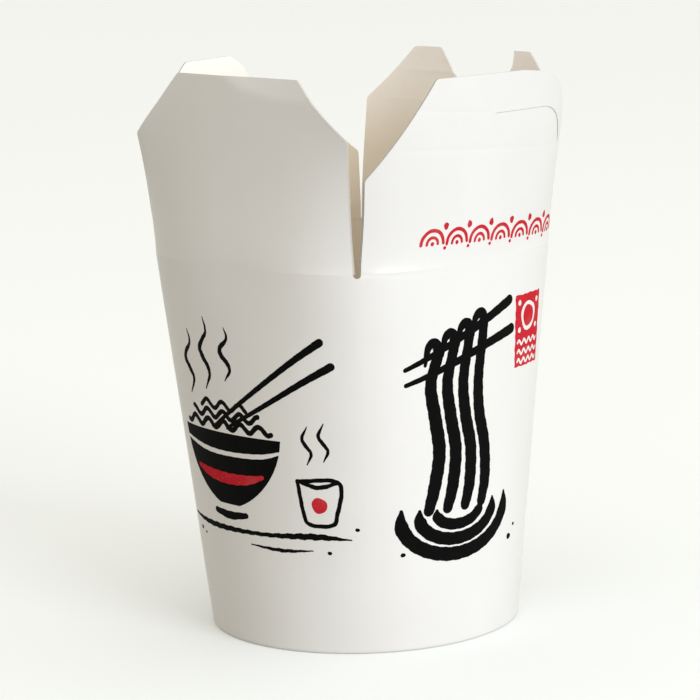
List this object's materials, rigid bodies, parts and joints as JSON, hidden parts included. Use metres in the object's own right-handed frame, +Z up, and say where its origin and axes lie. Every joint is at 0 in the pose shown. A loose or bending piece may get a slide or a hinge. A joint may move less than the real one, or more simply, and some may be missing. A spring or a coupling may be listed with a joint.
{
  "type": "noodle takeaway box",
  "caption": "Open paper noodle pail with a round recessed base, a wall that turns square towards the mouth, and hinged card flaps that fold inwards to close it.",
  "frame": {"origin": "centre of the base circle, on the surface the pail stands on", "axes": "+Z up along the pail's height; each flap faces one row axis: the plain flap -X, the notch flap +X, the slot flap -Y, the tongue flap +Y"},
  "size_m": [0.0931, 0.1092, 0.1479],
  "materials": {
    "card": "smooth white coated board, soft satin sheen",
    "card_inside": "smooth white lined board, slightly warmer and more matt",
    "ink_black": "black printing ink on board",
    "ink_red": "red printing ink on board"
  },
  "bodies": {
    "pail": {"wall": "card", "base": "card_inside"},
    "plain_side": {"plain_flap": "card"},
    "notch_side": {"notch_flap": "card"},
    "tongue_side": {"tongue_flap": "card"},
    "slot_side": {"slot_flap": "card"}
  },
  "joints": [
    {"name": "plain_fold", "type": "hinge", "parent": "pail", "child": "plain_side", "pos_m": [-0.03625, -0.00025, 0.1], "axis": [-0.0166, 0.9999, 0], "range_deg": [0, 95]},
    {"name": "notch_fold", "type": "hinge", "parent": "pail", "child": "notch_side", "pos_m": [0.03675, -0.00025, 0.1], "axis": [-0.0172, -0.9999, 0], "range_deg": [0, 92]},
    {"name": "tongue_fold", "type": "hinge", "parent": "pail", "child": "tongue_side", "pos_m": [0.00025, 0.03625, 0.101], "axis": [0.9999, -0.0166, 0], "range_deg": [0, 64]},
    {"name": "slot_fold", "type": "hinge", "parent": "pail", "child": "slot_side", "pos_m": [0.00025, -0.03675, 0.101], "axis": [-0.9999, -0.017, 0], "range_deg": [0, 56]}
  ]
}
